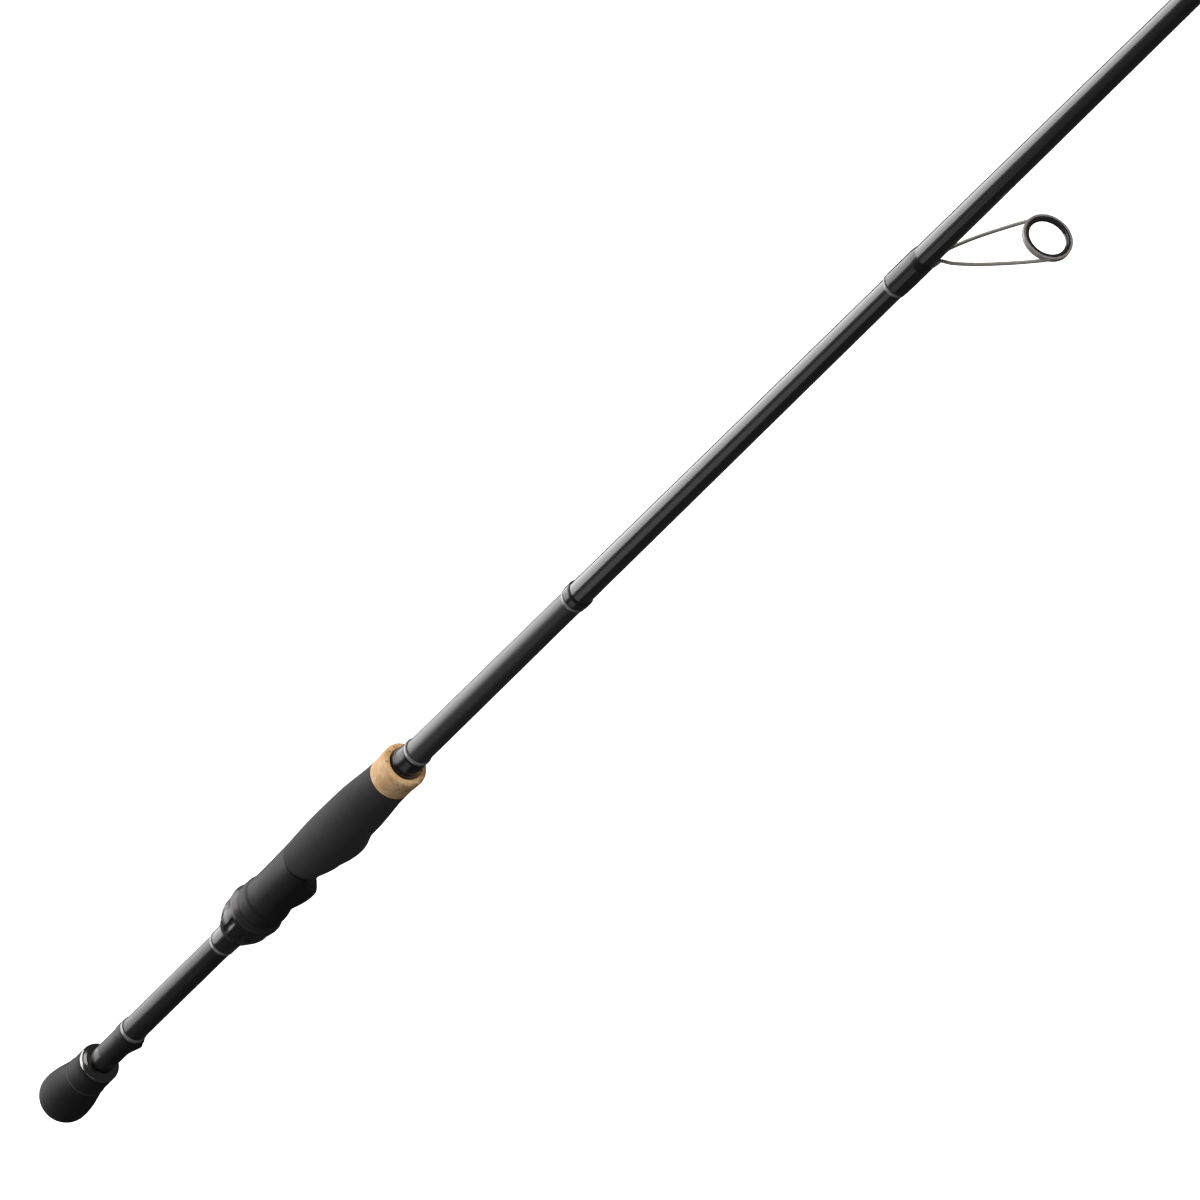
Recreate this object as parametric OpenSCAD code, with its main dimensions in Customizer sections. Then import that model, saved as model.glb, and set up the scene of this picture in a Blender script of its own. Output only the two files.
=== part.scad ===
// Spinning rod: one-piece blank, split grip, down-locking reel seat, single-foot guides.
// Origin: centre of the butt cap's flat end. +X runs to the tip, +Z is up, the guides hang at -Z.

/* [Blank] */
// Length from the butt cap's end to the tip of the tip-top
rod_length = 2134; // [2100:2:2200]
// Diameter of the straight rear handle section
handle_d = 11.2; // [11:0.1:11.4]
// Diameter of the blank's thin end
blank_tip_d = 2.0; // [1.8:0.1:2.2]

/* [Butt] */
// Largest diameter of the butt cap
cap_d = 23.3; // [22:0.1:25]
// Diameter of the butt cap where it meets its ring
cap_neck_d = 18.2; // [17:0.1:19]
// Height of the keeper fin above the rod's axis
fin_height = 9.2; // [8:0.1:11]

/* [Reel seat] */
// Diameter of the threaded tail and the plain barrel
barrel_d = 16.3; // [16.2:0.1:16.4]
// Diameter of the seat just in front of the moving hood
seat_body_d = 21.3; // [20.8:0.1:22]
// Depth of the flat saddle below the rod's axis
saddle_depth = 7.4; // [7.3:0.1:7.6]
// Width of the channel that takes the reel's foot
foot_w = 13; // [12:0.5:14]
// Radial gap between the barrel and what slides or turns on it
running_gap = 0.08; // [0.05:0.01:0.1]
// Outer diameter of the lock nut
nut_d = 22.3; // [22:0.1:22.6]
// Outer diameter of the ring on the lock nut
nut_ring_d = 24; // [23.6:0.1:24.4]
// Number of grip flutes round the nut
nut_flutes = 10; // [6:1:12]
// Pitch of the seat's thread
thread_pitch = 2; // [1.5:0.5:2]

/* [Foregrip] */
// Diameter of the foregrip where it meets the seat
foregrip_d = 22.4; // [22:0.1:23]
// Diameter of the foregrip where it meets the cork
foregrip_front_d = 19.2; // [18.8:0.1:20]
// Length of the cork ring
cork_len = 13.1; // [12.5:0.1:13.5]

/* [Guides] */
// Gap between the tip-top and the nearest guide
first_gap = 105.3; // [105:0.05:105.6]
// Growth of the gap from each guide to the next, towards the butt
gap_growth = 1.2; // [1.19:0.005:1.205]
// Lean of each ring towards the tip, in degrees
ring_lean = 9; // [0:1:12]

/* [Hidden] */
GUIDE_COUNT = 7;
FIXED_NODES = [
    "blank", "butt_cap", "butt_ring", "hook_keeper", "keeper_ring", "seat_trim_ring", "seat_winding",
    "reel_seat", "rear_arbor", "middle_arbor", "front_arbor", "lock_nut", "nut_ring", "moving_hood",
    "foregrip", "cork_ring", "winding_check", "check_ring", "label_ring", "label_winding",
    "stripper_ring", "tip_top", "tip_top_insert", "tip_top_winding"];
GUIDE_PARTS = ["frame", "insert", "winding"];

$fn = 64;
eps = 0.01;

// Places along the rod, from the butt end
cap_end = 41.5;
butt_ring_end = 45;
keeper_start = 68.1;
keeper_end = 74.2;
handle_start = 76.3;
handle_end = 158.2;
seat_start = 171.8;
nut_start = 174;
nut_end = 189.5;
nut_ring_end = 193.8;
hood_start = 194.1;
hood_end = 234.8;
shoulder = 235.2;
fixed_mouth = 260;
pocket_end = 271;
seat_end = 276.5;
foregrip_end = 310.4;
cork_end = foregrip_end + cork_len;
check_start = 319.5;
check_end = 333;
label_end = 465.6;
taper_start = 345;
blank_knee = 900;
blank_end = rod_length - 10;

// The saddle stands proud of the flats behind it and in front of it, so that the foot beds on it
relief = 0.05;

// The blank: outer radius at any place, and its wall
handle_r = handle_d / 2;
butt_r = handle_r + 0.05;
knee_r = 4.48;
tip_r = blank_tip_d / 2;
function blank_r(x) =
    x < handle_start ? butt_r
    : lookup(x, [[taper_start, handle_r], [blank_knee, knee_r], [blank_end, tip_r]]);
function wall(x) = lookup(x, [[0, 1.3], [blank_knee, 0.9], [blank_end, 0.45]]);

barrel_r = barrel_d / 2;
seat_bore_r = 6.4;
slide_r = barrel_r + running_gap;

// A solid of revolution about the rod's axis, from [place, radius] points
module turned(points) {
    rotate([0, 90, 0])
        rotate_extrude()
            polygon([for (p = points) [p[1], p[0]]]);
}

// A cosine blend of radius between two places
function blend(x0, r0, x1, r1, steps) =
    [for (i = [0 : steps]) [x0 + (x1 - x0) * i / steps, r0 + (r1 - r0) * (1 - cos(180 * i / steps)) / 2]];

// A quarter round of radius c, from the end face at x0 to the side at radius r
function quarter_round(x0, r, c, steps) =
    [for (i = [0 : steps]) [x0 + c * (1 - cos(90 * i / steps)), r - c + c * sin(90 * i / steps)]];

// A close-fitting sleeve on the blank: an outer outline closed along the blank's surface
module sleeve(outline) {
    x0 = outline[0][0];
    x1 = outline[len(outline) - 1][0];
    turned(concat([[x0, blank_r(x0)]], outline, [[x1, blank_r(x1)]]));
}

// A thread winding: a low sleeve with short tapered ends
module winding(x0, x1, build, taper = 1.2) {
    sleeve([
        [x0, blank_r(x0) + build * 0.3],
        [x0 + taper, blank_r(x0) + build],
        [x1 - taper, blank_r(x1) + build],
        [x1, blank_r(x1) + build * 0.3]]);
}

// A narrow bright ring with eased edges
module trim_ring(x0, x1, build) {
    sleeve([
        [x0, blank_r(x0) + build * 0.5],
        [x0 + 0.25, blank_r(x0) + build],
        [x1 - 0.25, blank_r(x1) + build],
        [x1, blank_r(x1) + build * 0.5]]);
}

// ---- Blank and butt ----

module blank() {
    start = 3;
    color("#262626")
        turned([
            [start, butt_r],
            [handle_start, butt_r],
            [handle_start, handle_r],
            [taper_start, handle_r],
            [blank_knee, knee_r],
            [blank_end, tip_r],
            [blank_end, tip_r - wall(blank_end)],
            [blank_knee, knee_r - wall(blank_knee)],
            [start, butt_r - wall(0)]]);
}

module butt_cap() {
    corner = 8.3;
    widest = 10.7;
    color("#2a2829")
        turned(concat(
            [[0, 0]],
            quarter_round(0, cap_d / 2, corner, 12),
            blend(widest, cap_d / 2, cap_end - 7.7, cap_neck_d / 2, 12),
            [[cap_end, cap_neck_d / 2], [cap_end, butt_r], [3, butt_r], [3, 0]]));
}

module butt_ring() {
    rear_r = cap_neck_d / 2 - 0.1;
    color("#d8d8d8")
        turned([
            [cap_end, butt_r],
            [cap_end, rear_r],
            [cap_end + 1.2, rear_r + 0.05],
            [cap_end + 2, rear_r - 0.15],
            [cap_end + 2.7, rear_r - 0.8],
            [cap_end + 3.2, rear_r - 1.7],
            [butt_ring_end, butt_r + 0.6],
            [butt_ring_end, butt_r]]);
}

module hook_keeper() {
    fin_rear = 53;
    fin_peak = 64.6;
    fin_front = 73.6;
    fin_t = 2.4;
    root = butt_r - 2;
    color("#1c1c1c")
        difference() {
            union() {
                sleeve([
                    [keeper_start, blank_r(keeper_start) + 0.25],
                    [keeper_start + 1.5, blank_r(keeper_start) + 0.5],
                    [keeper_end - 0.5, blank_r(keeper_start) + 0.5],
                    [keeper_end, blank_r(keeper_start) + 0.3]]);
                translate([0, fin_t / 2, 0])
                    rotate([90, 0, 0])
                        linear_extrude(fin_t)
                            polygon([
                                [fin_rear, -root],
                                [fin_rear, -butt_r - 0.3],
                                [fin_peak - 1.2, -fin_height + 0.1],
                                [fin_peak, -fin_height],
                                [fin_peak + 1, -fin_height + 0.35],
                                [fin_front, -butt_r - 0.3],
                                [fin_front, -root]]);
            }
            translate([fin_rear - 1, 0, 0])
                rotate([0, 90, 0])
                    cylinder(r = butt_r, h = keeper_end - fin_rear + 2);
        }
}

module keeper_ring() {
    color("#d0d0d4")
        trim_ring(keeper_end + 0.1, handle_start - 0.1, 0.35);
}

module seat_trim_ring() {
    color("#d0d0d4")
        trim_ring(handle_end + 0.1, handle_end + 1.5, 0.35);
}

module seat_winding() {
    color("#1a1a1a")
        sleeve([
            [handle_end + 1.7, blank_r(handle_end) + 0.15],
            [handle_end + 2.5, blank_r(handle_end) + 0.4],
            [seat_start - 0.7, blank_r(handle_end) + 0.75],
            [seat_start - 0.1, blank_r(handle_end) + 0.5]]);
}

// ---- Reel seat ----

// The channel for the reel's foot, from the barrel's shoulder to the fixed hood's mouth
module foot_channel() {
    translate([shoulder - 1, -foot_w / 2, -30])
        cube([fixed_mouth - shoulder + 1, foot_w, 30 - saddle_depth]);
}

// The pocket in the fixed hood: an arch under the flat, as wide as the foot, lower at its end
module fixed_pocket() {
    arch_r = 9.2;
    arch_z = -3.6;
    intersection() {
        translate([fixed_mouth - 1, 0, arch_z])
            rotate([0, 90, 0])
                cylinder(r1 = arch_r + 0.2, r2 = arch_r - 1.8, h = pocket_end - fixed_mouth + 1);
        translate([fixed_mouth - 2, -foot_w / 2, -30])
            cube([pocket_end - fixed_mouth + 4, foot_w, 30 - saddle_depth + relief]);
    }
}

// A short round section of the seat, used to build its lofts
module section(x, z, r) {
    translate([x, 0, z])
        rotate([0, 90, 0])
            cylinder(r = r, h = 1, $fn = 48);
}

// The seat's body from the shoulder on, slimmer underneath at the shoulder
module seat_body() {
    full_r = foregrip_d / 2;
    hull() {
        section(shoulder, 1.7, seat_body_d / 2 - 1.55);
        section(shoulder, 0, barrel_r + 0.05);
        section(249, 0, full_r - 0.2);
    }
    turned([
        [249.5, seat_bore_r - 0.6],
        [249.5, full_r - 0.2],
        [261, full_r + 0.1],
        [seat_end, full_r],
        [seat_end, seat_bore_r - 0.6]]);
}

// The swelling under the seat that holds the fixed hood
module hood_swell() {
    hull() {
        section(shoulder + 2.8, -0.6, 8);
        section(fixed_mouth - 1, -4.4, 9.5);
        section(fixed_mouth + 1, -4.6, 9.5);
        section(seat_end - 1, 0, foregrip_d / 2 - 0.2);
    }
}

module reel_seat() {
    thread_end = nut_end + 4;
    root_r = barrel_r - 0.5;
    thread_start = seat_start + 1.4;
    threads = floor((thread_end - thread_start) / thread_pitch);
    tail = concat(
        [[seat_start, barrel_r - 0.6]],
        [for (i = [0 : threads - 1], p = [[0, root_r], [0.35, barrel_r], [0.65, barrel_r], [1, root_r]])
            [thread_start + thread_pitch * (i + p[0]), p[1]]]);
    color("#3a3a3c")
        difference() {
            union() {
                turned(concat(
                    [[seat_start, seat_bore_r - 0.6]],
                    tail,
                    [[thread_end + 0.5, barrel_r],
                     [shoulder + 1, barrel_r],
                     [shoulder + 1, seat_bore_r - 0.6]]));
                seat_body();
                hood_swell();
            }
            translate([seat_start + 1.5, 0, 0])
                rotate([0, 90, 0])
                    cylinder(r = seat_bore_r, h = seat_end - seat_start);
            translate([seat_start - 1, 0, 0])
                rotate([0, 90, 0])
                    cylinder(r = handle_r + 0.02, h = 10);
            translate([seat_start - 1, -15, -30])
                cube([shoulder - seat_start + 1, 30, 30 - saddle_depth + relief]);
            foot_channel();
            fixed_pocket();
        }
}

// A bushing between the blank and the seat's bore
module arbor(x0, x1) {
    color("#b8a878")
        turned([
            [x0, blank_r(x0)],
            [x0, seat_bore_r],
            [x1, seat_bore_r],
            [x1, blank_r(x1)]]);
}

module rear_arbor() arbor(seat_start + 1.5, seat_start + 23);
module middle_arbor() arbor(210, 232);
module front_arbor() arbor(252, seat_end);

// Radius and end of the spigot that carries the ring on the lock nut
spigot_r = nut_ring_d / 2 - 1.8;
spigot_end = nut_ring_end - 2.1;

module lock_nut() {
    flute_r = 2.2;
    nut_r = nut_d / 2;
    flange_r = nut_ring_d / 2;
    color("#232323")
        difference() {
            turned([
                [nut_start, slide_r],
                [nut_start, nut_r - 1.95],
                [nut_start + 1, nut_r - 1.45],
                [nut_start + 2.6, nut_r - 0.95],
                [nut_start + 4.6, nut_r - 0.35],
                [nut_start + 6.6, nut_r],
                [nut_start + 9.5, nut_r + 0.05],
                [nut_end - 3.2, nut_r + 0.45],
                [nut_end - 0.5, flange_r],
                [nut_end, flange_r],
                [nut_end, spigot_r],
                [spigot_end, spigot_r],
                [spigot_end, slide_r + 1.35],
                [nut_end + 1, slide_r + 1.35],
                [nut_end + 1, slide_r]]);
            for (i = [0 : nut_flutes - 1])
                rotate([360 * (i + 0.5) / nut_flutes, 0, 0])
                    translate([nut_start - 1, 0, nut_r + flute_r - 0.55])
                        rotate([0, 90, 0])
                            cylinder(r = flute_r, h = nut_end - nut_start - 2.5);
        }
}

module nut_ring() {
    ring_r = nut_ring_d / 2;
    color("#8a8688")
        turned([
            [nut_end, spigot_r],
            [nut_end, ring_r],
            [nut_end + 0.5, ring_r],
            [nut_ring_end - 0.3, ring_r - 1.3],
            [nut_ring_end, ring_r - 1.55],
            [nut_ring_end, slide_r + 1.35],
            [spigot_end, slide_r + 1.35],
            [spigot_end, spigot_r]]);
}

// The moving hood: a sleeve that slides on the barrel, with a pocket for the foot's heel
module moving_hood() {
    step = 201.6;
    tail_start = nut_end + 1.3;
    peak = 220.5;
    pocket_z = -3.6;
    pocket_r = 9.5;
    inner_r = pocket_r - 1;
    pocket_start = 209;
    color("#343436")
        difference() {
            union() {
                turned([
                    [tail_start, slide_r - 1],
                    [tail_start, slide_r + 1.2],
                    [hood_start, slide_r + 1.2],
                    [hood_start, 10.6],
                    [hood_start + 0.6, 11],
                    [step - 1, 10.8],
                    [step, 10.3],
                    [step + 6, 10.1],
                    [hood_end, 10.3],
                    [hood_end, slide_r - 1]]);
                hull() {
                    translate([step + 3, 0, 0])
                        rotate([0, 90, 0])
                            cylinder(r = 9.7, h = 1, $fn = 48);
                    translate([peak - 2, 0, pocket_z])
                        rotate([0, 90, 0])
                            cylinder(r = pocket_r, h = 3, $fn = 48);
                    translate([hood_end - 5, 0, -1.2])
                        rotate([0, 90, 0])
                            cylinder(r = 8.9, h = 1, $fn = 48);
                }
            }
            // sliding bore, flat underneath so that the hood can't turn on the barrel
            difference() {
                translate([tail_start - 1, 0, 0])
                    rotate([0, 90, 0])
                        cylinder(r = slide_r, h = hood_end - tail_start + 2);
                translate([tail_start - 1, -15, -30])
                    cube([pocket_start - tail_start + 1, 30, 30 - saddle_depth + relief - running_gap]);
            }
            // heel pocket, open towards the tip
            translate([pocket_start, 0, pocket_z])
                rotate([0, 90, 0])
                    cylinder(r1 = inner_r - 2.5, r2 = inner_r, h = peak - 2 - pocket_start);
            translate([peak - 2 - eps, 0, pocket_z])
                rotate([0, 90, 0])
                    cylinder(r = inner_r, h = 40);
            // the mouth slants back under the barrel so that the foot can be tipped in
            translate([peak - 1.1, 0, -13.2])
                rotate([0, -43, 0])
                    translate([-3, -15, -30])
                        cube([60, 30, 30]);
        }
}

// ---- Foregrip ----

module foregrip() {
    color("#333335")
        sleeve([
            [seat_end, foregrip_d / 2],
            [283.6, foregrip_d / 2 - 0.15],
            [291, foregrip_d / 2 - 0.55],
            [299, foregrip_front_d / 2 + 0.45],
            [305, foregrip_front_d / 2 + 0.1],
            [foregrip_end, foregrip_front_d / 2]]);
}

module cork_ring() {
    recess_r = 7.1;
    cork_r = foregrip_front_d / 2;
    color("#d2a067")
        turned([
            [foregrip_end, blank_r(foregrip_end)],
            [foregrip_end, cork_r],
            [foregrip_end + 4, cork_r + 0.05],
            [cork_end - 4.5, cork_r + 0.35],
            [cork_end - 2, cork_r + 0.45],
            [cork_end - 0.7, cork_r + 0.2],
            [cork_end, cork_r - 0.6],
            [cork_end, recess_r],
            [check_start, recess_r],
            [check_start, blank_r(check_start)]]);
}

module winding_check() {
    color("#161616")
        sleeve([
            [check_start, 6.9],
            [cork_end + 1, 6.9],
            [cork_end + 2.4, 6.5],
            [check_end - 1, 6.05],
            [check_end, 5.85]]);
}

module check_ring() {
    color("#d0d0d4")
        trim_ring(check_end + 0.1, check_end + 1.7, 0.6);
}

module label_ring() {
    color("#d0d0d4")
        trim_ring(label_end, label_end + 1.4, 0.4);
}

module label_winding() {
    color("#1a1a1a")
        winding(label_end + 1.5, label_end + 7, 0.65);
}

// ---- Guides ----

// Ring outer diameter, height of the ring's centre above the blank, wire diameter and
// length of the winding for each guide, from the butt to the tip
ring_od = [20, 12, 9.5, 7.5, 6.5, 6, 6];
ring_height = [29.5, 17.5, 12, 9, 7.5, 6.6, 6.2];
wire_d = [1.3, 1.2, 1.1, 1, 0.9, 0.8, 0.8];
winding_len = [22.6, 17, 14, 12, 11, 10, 9];

tip_x = rod_length - 0.9;

// The gaps grow by one ratio from the tip to the butt
function guide_x(n) = tip_x - first_gap * (pow(gap_growth, GUIDE_COUNT - n + 1) - 1) / (gap_growth - 1);
function ring_z(n) = -blank_r(guide_x(n)) - ring_height[n - 1];
function root_x(n) = guide_x(n) - ring_height[n - 1] * 1.015;
function bezel(n) = max(0.5, ring_od[n - 1] * 0.05);
function insert_r(n) = ring_od[n - 1] / 2 - bezel(n);
function foot_half(n) = min(2.4, blank_r(root_x(n)) * 0.75);
function foot_t(n) = wire_d[n - 1] * 0.35;

// A bent wire through a list of points, mirrored to both sides of the rod
module wire_pair(points, d) {
    for (s = [-1, 1]) {
        path = [for (p = points) [p[0], p[1] * s, p[2]]];
        for (i = [0 : len(path) - 1])
            translate(path[i])
                sphere(d = d * 1.04, $fn = 24);
        for (i = [0 : len(path) - 2])
            translate(path[i])
                along(path[i + 1] - path[i])
                    cylinder(d = d, h = norm(path[i + 1] - path[i]), $fn = 24);
    }
}

// Turns +Z to point along v
module along(v) {
    rotate([0, atan2(norm([v[0], v[1]]), v[2]), atan2(v[1], v[0])])
        children();
}

// A bezel of the given outer radius, inner radius and width, about X
module ring_band(outer, inner, width) {
    rotate([0, 90, 0])
        rotate_extrude()
            translate([inner, -width / 2])
                square([outer - inner, width]);
}

// A ceramic ring with a rounded bore, about X
module ceramic_ring(outer, bore, width) {
    lip = min(0.5, width / 3);
    rotate([0, 90, 0])
        rotate_extrude()
            polygon([
                [outer, -width / 2],
                [outer, width / 2],
                [bore + lip, width / 2],
                [bore, width / 2 - lip],
                [bore, -width / 2 + lip],
                [bore + lip, -width / 2]]);
}

// Places a ring's own shape at guide n
module at_ring(n) {
    translate([guide_x(n), 0, ring_z(n)])
        rotate([0, -ring_lean, 0])
            children();
}

// A prism that holds the foot, from inside the blank to the foot's underside
module foot_prism(n) {
    toe = root_x(n) - winding_len[n - 1] + 3;
    heel = root_x(n) + wire_d[n - 1] * 0.2;
    translate([0, foot_half(n), 0])
        rotate([90, 0, 0])
            linear_extrude(foot_half(n) * 2)
                polygon([
                    [toe, -blank_r(toe) * 0.5],
                    [toe, -blank_r(toe) - 0.1],
                    [heel - 4, -blank_r(heel) - foot_t(n)],
                    [heel, -blank_r(heel) - foot_t(n)],
                    [heel, -blank_r(heel) * 0.5]]);
}

// The foot: a tapered tongue that lies on the blank
module foot(n) {
    x0 = root_x(n) - winding_len[n - 1] - 5;
    x1 = root_x(n) + 5;
    difference() {
        foot_prism(n);
        turned([[x0, 0], [x0, blank_r(x0)], [x1, blank_r(x1)], [x1, 0]]);
    }
}

module guide_frame(n) {
    d = wire_d[n - 1];
    side_y = insert_r(n) + d * 0.52 + 0.1;
    root = [root_x(n), foot_half(n) - d * 0.6, -blank_r(root_x(n)) - d * 0.55];
    side = [guide_x(n), side_y, ring_z(n)];
    knee = [
        root[0] + (side[0] - root[0]) * 0.5,
        root[1] + (side[1] - root[1]) * 0.7,
        root[2] + (side[2] - root[2]) * 0.5];
    color("#8a8278")
        union() {
            at_ring(n)
                ring_band(ring_od[n - 1] / 2, insert_r(n), ring_od[n - 1] * 0.11);
            wire_pair([root, knee, side], d);
            foot(n);
        }
}

module guide_insert(n) {
    color("#2f2d30")
        at_ring(n)
            ceramic_ring(insert_r(n), ring_od[n - 1] * 0.37, ring_od[n - 1] * 0.13);
}

module guide_winding(n) {
    x1 = root_x(n) - wire_d[n - 1] * 0.6;
    x0 = x1 - winding_len[n - 1];
    color("#1a1a1a")
        difference() {
            winding(x0, x1, foot_t(n) + 0.18, 1);
            foot_prism(n);
        }
}

module stripper_ring() {
    x1 = root_x(1) - wire_d[0] * 0.6 - winding_len[0] - 0.1;
    color("#d0d0d4")
        trim_ring(x1 - 1.4, x1, 0.35);
}

// ---- Tip-top ----

tube_start = blank_end - 9;
tube_r = tip_r + 0.4;
tube_end = blank_end + 3;
tip_ring_r = 3;
tip_insert_r = 2.5;
tip_z = -tube_r - 3.6;

module at_tip_ring() {
    translate([tip_x, 0, tip_z])
        rotate([0, -ring_lean, 0])
            children();
}

module tip_top() {
    wire = 0.8;
    color("#8a8278")
        union() {
            turned([
                [tube_start, blank_r(tube_start)],
                [tube_start, blank_r(tube_start) + 0.35],
                [blank_end, tube_r],
                [tube_end - 0.8, tube_r],
                [tube_end, tube_r - 0.6],
                [tube_end, 0],
                [blank_end, 0],
                [blank_end, tip_r]]);
            at_tip_ring()
                ring_band(tip_ring_r, tip_insert_r, 0.8);
            wire_pair([
                [blank_end + 1.2, 0.75, -0.5],
                [tip_x - 3, tip_insert_r * 0.9, tip_z * 0.62],
                [tip_x, tip_insert_r + wire * 0.52 + 0.1, tip_z]], wire);
        }
}

module tip_top_insert() {
    color("#2f2d30")
        at_tip_ring()
            ceramic_ring(tip_insert_r, 1.9, 0.9);
}

module tip_top_winding() {
    color("#1a1a1a")
        winding(tube_start - 6.1, tube_start - 0.1, 0.35, 0.8);
}

blank();
butt_cap();
butt_ring();
hook_keeper();
keeper_ring();
seat_trim_ring();
seat_winding();
reel_seat();
rear_arbor();
middle_arbor();
front_arbor();
lock_nut();
nut_ring();
moving_hood();
foregrip();
cork_ring();
winding_check();
check_ring();
label_ring();
label_winding();
stripper_ring();
tip_top();
tip_top_insert();
tip_top_winding();
for (n = [1 : GUIDE_COUNT]) {
    guide_frame(n);
    guide_insert(n);
    guide_winding(n);
}
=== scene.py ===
import bpy
import math
import numpy as np
from mathutils import Matrix, Vector


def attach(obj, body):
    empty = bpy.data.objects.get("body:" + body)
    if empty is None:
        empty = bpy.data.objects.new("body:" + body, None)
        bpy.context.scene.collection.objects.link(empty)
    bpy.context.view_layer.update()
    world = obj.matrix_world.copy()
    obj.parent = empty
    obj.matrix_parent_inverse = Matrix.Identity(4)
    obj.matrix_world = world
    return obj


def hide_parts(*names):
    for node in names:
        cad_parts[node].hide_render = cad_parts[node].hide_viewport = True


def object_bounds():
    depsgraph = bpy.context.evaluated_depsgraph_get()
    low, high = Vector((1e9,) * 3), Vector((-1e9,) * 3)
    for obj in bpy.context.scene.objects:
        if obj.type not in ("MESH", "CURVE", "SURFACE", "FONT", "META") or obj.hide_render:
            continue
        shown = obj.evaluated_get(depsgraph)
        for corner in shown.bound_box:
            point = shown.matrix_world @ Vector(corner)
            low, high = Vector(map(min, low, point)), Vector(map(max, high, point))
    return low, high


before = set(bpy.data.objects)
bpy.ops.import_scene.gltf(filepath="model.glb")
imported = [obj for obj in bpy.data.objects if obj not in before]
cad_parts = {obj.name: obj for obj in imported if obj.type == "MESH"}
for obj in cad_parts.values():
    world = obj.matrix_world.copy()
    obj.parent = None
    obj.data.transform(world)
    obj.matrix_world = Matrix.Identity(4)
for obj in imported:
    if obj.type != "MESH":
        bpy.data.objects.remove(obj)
CAD_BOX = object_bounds()
MM = 0.001

# The spinning rod's visual model, in the CAD's frame: X runs from the butt to the tip, the guides hang at -Z.


# ---------------------------------------------------------------- materials

class Paint:
    """A Principled material with small helpers for its nodes. Lengths are in metres."""

    def __init__(self, name, color, rough, **sockets):
        self.mat = bpy.data.materials.new(name)
        self.mat.use_nodes = True
        self.tree = self.mat.node_tree
        self.bsdf = self.tree.nodes["Principled BSDF"]
        self.bsdf.inputs["Base Color"].default_value = (*color, 1)
        self.bsdf.inputs["Roughness"].default_value = rough
        for key, value in sockets.items():
            self.bsdf.inputs[key.replace("_", " ")].default_value = value
        self.where = self.add("ShaderNodeTexCoord").outputs["Object"]

    def add(self, kind, **settings):
        n = self.tree.nodes.new(kind)
        for key, value in settings.items():
            setattr(n, key, value)
        return n

    def link(self, a, b):
        self.tree.links.new(a, b)

    def math(self, op, a, b=None):
        n = self.add("ShaderNodeMath", operation=op)
        for i, v in enumerate((a, b)):
            if isinstance(v, (int, float)):
                n.inputs[i].default_value = v
            elif v is not None:
                self.link(v, n.inputs[i])
        return n.outputs[0]

    def scaled(self, stretch):
        n = self.add("ShaderNodeVectorMath", operation="MULTIPLY")
        self.link(self.where, n.inputs[0])
        n.inputs[1].default_value = stretch
        return n.outputs[0]

    def noise(self, scale, detail=3, rough=0.5, stretch=(1, 1, 1)):
        n = self.add("ShaderNodeTexNoise")
        self.link(self.scaled(stretch), n.inputs["Vector"])
        n.inputs["Scale"].default_value = scale
        n.inputs["Detail"].default_value = detail
        n.inputs["Roughness"].default_value = rough
        return n.outputs["Fac"]

    def cells(self, scale, stretch=(1, 1, 1)):
        n = self.add("ShaderNodeTexVoronoi")
        self.link(self.scaled(stretch), n.inputs["Vector"])
        n.inputs["Scale"].default_value = scale
        return n.outputs["Distance"]

    def ramp(self, value, low, high, to_low=0.0, to_high=1.0):
        n = self.add("ShaderNodeMapRange")
        self.link(value, n.inputs["Value"])
        for key, v in (("From Min", low), ("From Max", high), ("To Min", to_low), ("To Max", to_high)):
            n.inputs[key].default_value = v
        return n.outputs["Result"]

    def mix(self, fac, a, b):
        n = self.add("ShaderNodeMix", data_type="RGBA")
        self.link(fac, n.inputs["Factor"])
        for key, v in (("A", a), ("B", b)):
            socket = [s for s in n.inputs if s.name == key and s.type == "RGBA"][0]
            if isinstance(v, tuple):
                socket.default_value = (*v, 1)
            else:
                self.link(v, socket)
        return [s for s in n.outputs if s.type == "RGBA"][0]

    def around(self):
        """(distance along the rod, angle about it), in metres and radians."""
        n = self.add("ShaderNodeSeparateXYZ")
        self.link(self.where, n.inputs[0])
        return n.outputs["X"], self.math("ARCTAN2", n.outputs["Y"], n.outputs["Z"])

    def color(self, value):
        self.link(value, self.bsdf.inputs["Base Color"])
        return self

    def rough(self, value):
        self.link(value, self.bsdf.inputs["Roughness"])
        return self

    def bump(self, height, distance, strength=1.0, edge=0.0):
        """Surface relief; edge is the radius that the shader rounds the piece's edges to."""
        n = self.add("ShaderNodeBump")
        n.inputs["Strength"].default_value = strength
        n.inputs["Distance"].default_value = distance
        self.link(height, n.inputs["Height"])
        if edge:
            b = self.add("ShaderNodeBevel", samples=4)
            b.inputs["Radius"].default_value = edge
            self.link(b.outputs[0], n.inputs["Normal"])
        self.link(n.outputs[0], self.bsdf.inputs["Normal"])
        return self


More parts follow.
